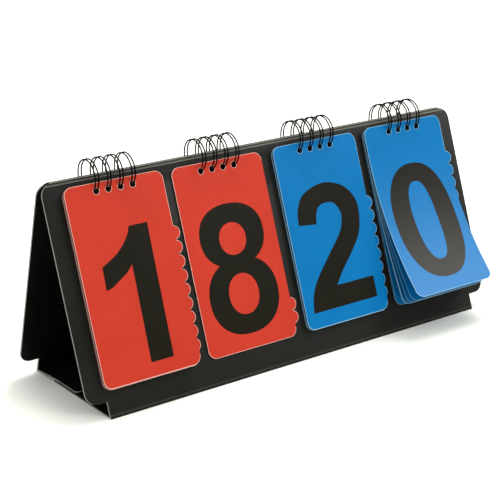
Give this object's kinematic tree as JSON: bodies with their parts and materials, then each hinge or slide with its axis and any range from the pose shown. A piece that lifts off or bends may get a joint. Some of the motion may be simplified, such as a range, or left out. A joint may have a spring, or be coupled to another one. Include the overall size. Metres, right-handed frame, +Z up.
{
  "type": "tabletop flip scoreboard",
  "caption": "Folding A-frame scoreboard: number cards in two colours hang in stacks on twin-loop wire bindings and flip over the top of a creased stand.",
  "frame": {"origin": "on the table, under the middle of the base, midway between the two floor folds", "axes": "+X along the stand to the players' right, -Y towards the players, +Z up"},
  "size_m": [0.38, 0.1336, 0.173],
  "materials": {
    "stand_sheet": "fine grain",
    "hook_and_loop": "woven",
    "wire": "satin",
    "red_card": "satin print",
    "blue_card": "satin print"
  },
  "bodies": {
    "front_panel": {"front_panel": "stand_sheet"},
    "spine": {"spine_strip": "stand_sheet"},
    "rear_panel": {"rear_panel": "stand_sheet"},
    "front_flap": {"base_front_flap": "stand_sheet", "hook_pads": "hook_and_loop"},
    "rear_flap": {"base_rear_flap": "stand_sheet", "loop_pads": "hook_and_loop"},
    "red_tens_binding": {"red_tens_binding": "wire"},
    "red_tens_card_0": {"red_tens_card_0": "red_card"},
    "red_tens_card_1": {"red_tens_card_1": "red_card"},
    "red_tens_card_2": {"red_tens_card_2": "red_card"},
    "red_tens_card_3": {"red_tens_card_3": "red_card"},
    "red_tens_card_4": {"red_tens_card_4": "red_card"},
    "red_tens_card_5": {"red_tens_card_5": "red_card"},
    "red_tens_card_6": {"red_tens_card_6": "red_card"},
    "red_tens_card_7": {"red_tens_card_7": "red_card"},
    "red_tens_card_8": {"red_tens_card_8": "red_card"},
    "red_tens_card_9": {"red_tens_card_9": "red_card"},
    "red_units_binding": {"red_units_binding": "wire"},
    "red_units_card_0": {"red_units_card_0": "red_card"},
    "red_units_card_1": {"red_units_card_1": "red_card"},
    "red_units_card_2": {"red_units_card_2": "red_card"},
    "red_units_card_3": {"red_units_card_3": "red_card"},
    "red_units_card_4": {"red_units_card_4": "red_card"},
    "red_units_card_5": {"red_units_card_5": "red_card"},
    "red_units_card_6": {"red_units_card_6": "red_card"},
    "red_units_card_7": {"red_units_card_7": "red_card"},
    "red_units_card_8": {"red_units_card_8": "red_card"},
    "red_units_card_9": {"red_units_card_9": "red_card"},
    "blue_tens_binding": {"blue_tens_binding": "wire"},
    "blue_tens_card_0": {"blue_tens_card_0": "blue_card"},
    "blue_tens_card_1": {"blue_tens_card_1": "blue_card"},
    "blue_tens_card_2": {"blue_tens_card_2": "blue_card"},
    "blue_tens_card_3": {"blue_tens_card_3": "blue_card"},
    "blue_tens_card_4": {"blue_tens_card_4": "blue_card"},
    "blue_tens_card_5": {"blue_tens_card_5": "blue_card"},
    "blue_tens_card_6": {"blue_tens_card_6": "blue_card"},
    "blue_tens_card_7": {"blue_tens_card_7": "blue_card"},
    "blue_tens_card_8": {"blue_tens_card_8": "blue_card"},
    "blue_tens_card_9": {"blue_tens_card_9": "blue_card"},
    "blue_units_binding": {"blue_units_binding": "wire"},
    "blue_units_card_0": {"blue_units_card_0": "blue_card"},
    "blue_units_card_1": {"blue_units_card_1": "blue_card"},
    "blue_units_card_2": {"blue_units_card_2": "blue_card"},
    "blue_units_card_3": {"blue_units_card_3": "blue_card"},
    "blue_units_card_4": {"blue_units_card_4": "blue_card"},
    "blue_units_card_5": {"blue_units_card_5": "blue_card"},
    "blue_units_card_6": {"blue_units_card_6": "blue_card"},
    "blue_units_card_7": {"blue_units_card_7": "blue_card"},
    "blue_units_card_8": {"blue_units_card_8": "blue_card"},
    "blue_units_card_9": {"blue_units_card_9": "blue_card"}
  },
  "joints": [
    {"name": "stand_fold", "type": "hinge", "parent": "front_panel", "child": "spine", "pos_m": [0, -0.00235, 0.16079], "axis": [-1, 0, 0], "range_deg": [0, 17.25]},
    {"name": "rear_crease", "type": "hinge", "parent": "spine", "child": "rear_panel", "pos_m": [0, 0.00235, 0.16079], "axis": [-1, 0, 0], "range_deg": [0, 17.25]},
    {"name": "rear_floor_fold", "type": "hinge", "parent": "rear_panel", "child": "rear_flap", "pos_m": [0, 0.05355, 0.00165], "axis": [-1, 0, 0], "range_deg": [0, 67.27]},
    {"name": "front_floor_fold", "type": "hinge", "parent": "front_panel", "child": "front_flap", "pos_m": [0, -0.05568, 0], "axis": [-1, 0, 0], "range_deg": [0, 108.15]},
    {"name": "red_tens_binding_turn", "type": "hinge", "parent": "front_panel", "child": "red_tens_binding", "pos_m": [0, 0, 0.15999], "axis": [-1, 0, 0], "range_deg": [0, 17.25]},
    {"name": "red_tens_card_9_flip", "type": "hinge", "parent": "front_panel", "child": "red_tens_card_9", "pos_m": [0, 0, 0.15999], "axis": [-1, 0, 0], "range_deg": [0, 180]},
    {"name": "red_tens_card_8_flip", "type": "hinge", "parent": "red_tens_card_9", "child": "red_tens_card_8", "pos_m": [0, 0, 0.15999], "axis": [-1, 0, 0], "range_deg": [0, 180]},
    {"name": "red_tens_card_7_flip", "type": "hinge", "parent": "red_tens_card_8", "child": "red_tens_card_7", "pos_m": [0, 0, 0.15999], "axis": [-1, 0, 0], "range_deg": [0, 180]},
    {"name": "red_tens_card_6_flip", "type": "hinge", "parent": "red_tens_card_7", "child": "red_tens_card_6", "pos_m": [0, 0, 0.15999], "axis": [-1, 0, 0], "range_deg": [0, 180]},
    {"name": "red_tens_card_5_flip", "type": "hinge", "parent": "red_tens_card_6", "child": "red_tens_card_5", "pos_m": [0, 0, 0.15999], "axis": [-1, 0, 0], "range_deg": [0, 180]},
    {"name": "red_tens_card_4_flip", "type": "hinge", "parent": "red_tens_card_5", "child": "red_tens_card_4", "pos_m": [0, 0, 0.15999], "axis": [-1, 0, 0], "range_deg": [0, 180]},
    {"name": "red_tens_card_3_flip", "type": "hinge", "parent": "red_tens_card_4", "child": "red_tens_card_3", "pos_m": [0, 0, 0.15999], "axis": [-1, 0, 0], "range_deg": [0, 180]},
    {"name": "red_tens_card_2_flip", "type": "hinge", "parent": "red_tens_card_3", "child": "red_tens_card_2", "pos_m": [0, 0, 0.15999], "axis": [-1, 0, 0], "range_deg": [0, 180]},
    {"name": "red_tens_card_1_flip", "type": "hinge", "parent": "red_tens_card_2", "child": "red_tens_card_1", "pos_m": [0, 0, 0.15999], "axis": [-1, 0, 0], "range_deg": [0, 180]},
    {"name": "red_tens_card_0_flip", "type": "hinge", "parent": "rear_panel", "child": "red_tens_card_0", "pos_m": [0, 0, 0.15999], "axis": [1, 0, 0], "range_deg": [0, 180]},
    {"name": "red_units_binding_turn", "type": "hinge", "parent": "front_panel", "child": "red_units_binding", "pos_m": [0, 0, 0.15999], "axis": [-1, 0, 0], "range_deg": [0, 17.25]},
    {"name": "red_units_card_9_flip", "type": "hinge", "parent": "front_panel", "child": "red_units_card_9", "pos_m": [0, 0, 0.15999], "axis": [-1, 0, 0], "range_deg": [0, 180]},
    {"name": "red_units_card_8_flip", "type": "hinge", "parent": "red_units_card_9", "child": "red_units_card_8", "pos_m": [0, 0, 0.15999], "axis": [-1, 0, 0], "range_deg": [0, 180]},
    {"name": "red_units_card_0_flip", "type": "hinge", "parent": "rear_panel", "child": "red_units_card_0", "pos_m": [0, 0, 0.15999], "axis": [1, 0, 0], "range_deg": [0, 180]},
    {"name": "red_units_card_1_flip", "type": "hinge", "parent": "red_units_card_0", "child": "red_units_card_1", "pos_m": [0, 0, 0.15999], "axis": [1, 0, 0], "range_deg": [0, 180]},
    {"name": "red_units_card_2_flip", "type": "hinge", "parent": "red_units_card_1", "child": "red_units_card_2", "pos_m": [0, 0, 0.15999], "axis": [1, 0, 0], "range_deg": [0, 180]},
    {"name": "red_units_card_3_flip", "type": "hinge", "parent": "red_units_card_2", "child": "red_units_card_3", "pos_m": [0, 0, 0.15999], "axis": [1, 0, 0], "range_deg": [0, 180]},
    {"name": "red_units_card_4_flip", "type": "hinge", "parent": "red_units_card_3", "child": "red_units_card_4", "pos_m": [0, 0, 0.15999], "axis": [1, 0, 0], "range_deg": [0, 180]},
    {"name": "red_units_card_5_flip", "type": "hinge", "parent": "red_units_card_4", "child": "red_units_card_5", "pos_m": [0, 0, 0.15999], "axis": [1, 0, 0], "range_deg": [0, 180]},
    {"name": "red_units_card_6_flip", "type": "hinge", "parent": "red_units_card_5", "child": "red_units_card_6", "pos_m": [0, 0, 0.15999], "axis": [1, 0, 0], "range_deg": [0, 180]},
    {"name": "red_units_card_7_flip", "type": "hinge", "parent": "red_units_card_6", "child": "red_units_card_7", "pos_m": [0, 0, 0.15999], "axis": [1, 0, 0], "range_deg": [0, 180]},
    {"name": "blue_tens_binding_turn", "type": "hinge", "parent": "front_panel", "child": "blue_tens_binding", "pos_m": [0, 0, 0.15999], "axis": [-1, 0, 0], "range_deg": [0, 17.25]},
    {"name": "blue_tens_card_9_flip", "type": "hinge", "parent": "front_panel", "child": "blue_tens_card_9", "pos_m": [0, 0, 0.15999], "axis": [-1, 0, 0], "range_deg": [0, 180]},
    {"name": "blue_tens_card_8_flip", "type": "hinge", "parent": "blue_tens_card_9", "child": "blue_tens_card_8", "pos_m": [0, 0, 0.15999], "axis": [-1, 0, 0], "range_deg": [0, 180]},
    {"name": "blue_tens_card_7_flip", "type": "hinge", "parent": "blue_tens_card_8", "child": "blue_tens_card_7", "pos_m": [0, 0, 0.15999], "axis": [-1, 0, 0], "range_deg": [0, 180]},
    {"name": "blue_tens_card_6_flip", "type": "hinge", "parent": "blue_tens_card_7", "child": "blue_tens_card_6", "pos_m": [0, 0, 0.15999], "axis": [-1, 0, 0], "range_deg": [0, 180]},
    {"name": "blue_tens_card_5_flip", "type": "hinge", "parent": "blue_tens_card_6", "child": "blue_tens_card_5", "pos_m": [0, 0, 0.15999], "axis": [-1, 0, 0], "range_deg": [0, 180]},
    {"name": "blue_tens_card_4_flip", "type": "hinge", "parent": "blue_tens_card_5", "child": "blue_tens_card_4", "pos_m": [0, 0, 0.15999], "axis": [-1, 0, 0], "range_deg": [0, 180]},
    {"name": "blue_tens_card_3_flip", "type": "hinge", "parent": "blue_tens_card_4", "child": "blue_tens_card_3", "pos_m": [0, 0, 0.15999], "axis": [-1, 0, 0], "range_deg": [0, 180]},
    {"name": "blue_tens_card_2_flip", "type": "hinge", "parent": "blue_tens_card_3", "child": "blue_tens_card_2", "pos_m": [0, 0, 0.15999], "axis": [-1, 0, 0], "range_deg": [0, 180]},
    {"name": "blue_tens_card_0_flip", "type": "hinge", "parent": "rear_panel", "child": "blue_tens_card_0", "pos_m": [0, 0, 0.15999], "axis": [1, 0, 0], "range_deg": [0, 180]},
    {"name": "blue_tens_card_1_flip", "type": "hinge", "parent": "blue_tens_card_0", "child": "blue_tens_card_1", "pos_m": [0, 0, 0.15999], "axis": [1, 0, 0], "range_deg": [0, 180]},
    {"name": "blue_units_binding_turn", "type": "hinge", "parent": "front_panel", "child": "blue_units_binding", "pos_m": [0, 0, 0.15999], "axis": [-1, 0, 0], "range_deg": [0, 17.25]},
    {"name": "blue_units_card_9_flip", "type": "hinge", "parent": "front_panel", "child": "blue_units_card_9", "pos_m": [0, 0, 0.15999], "axis": [-1, 0, 0], "range_deg": [0, 180]},
    {"name": "blue_units_card_8_flip", "type": "hinge", "parent": "blue_units_card_9", "child": "blue_units_card_8", "pos_m": [0, 0, 0.15999], "axis": [-1, 0, 0], "range_deg": [0, 180]},
    {"name": "blue_units_card_7_flip", "type": "hinge", "parent": "blue_units_card_8", "child": "blue_units_card_7", "pos_m": [0, 0, 0.15999], "axis": [-1, 0, 0], "range_deg": [0, 180]},
    {"name": "blue_units_card_6_flip", "type": "hinge", "parent": "blue_units_card_7", "child": "blue_units_card_6", "pos_m": [0, 0, 0.15999], "axis": [-1, 0, 0], "range_deg": [0, 180]},
    {"name": "blue_units_card_5_flip", "type": "hinge", "parent": "blue_units_card_6", "child": "blue_units_card_5", "pos_m": [0, 0, 0.15999], "axis": [-1, 0, 0], "range_deg": [0, 180]},
    {"name": "blue_units_card_4_flip", "type": "hinge", "parent": "blue_units_card_5", "child": "blue_units_card_4", "pos_m": [0, 0, 0.15999], "axis": [-1, 0, 0], "range_deg": [0, 180]},
    {"name": "blue_units_card_3_flip", "type": "hinge", "parent": "blue_units_card_4", "child": "blue_units_card_3", "pos_m": [0, 0, 0.15999], "axis": [-1, 0, 0], "range_deg": [0, 180]},
    {"name": "blue_units_card_2_flip", "type": "hinge", "parent": "blue_units_card_3", "child": "blue_units_card_2", "pos_m": [0, 0, 0.15999], "axis": [-1, 0, 0], "range_deg": [0, 180]},
    {"name": "blue_units_card_1_flip", "type": "hinge", "parent": "blue_units_card_2", "child": "blue_units_card_1", "pos_m": [0, 0, 0.15999], "axis": [-1, 0, 0], "range_deg": [0, 180]},
    {"name": "blue_units_card_0_flip", "type": "hinge", "parent": "blue_units_card_1", "child": "blue_units_card_0", "pos_m": [0, 0, 0.15999], "axis": [-1, 0, 0], "range_deg": [0, 180]}
  ],
  "couplings": [
    {"joint": "rear_crease", "follows": "stand_fold", "ratio": 1},
    {"joint": "rear_floor_fold", "follows": "stand_fold", "ratio": 3.8999},
    {"joint": "front_floor_fold", "follows": "stand_fold", "ratio": 6.2696},
    {"joint": "red_tens_binding_turn", "follows": "stand_fold", "ratio": 1},
    {"joint": "red_units_binding_turn", "follows": "stand_fold", "ratio": 1},
    {"joint": "blue_tens_binding_turn", "follows": "stand_fold", "ratio": 1},
    {"joint": "blue_units_binding_turn", "follows": "stand_fold", "ratio": 1}
  ]
}
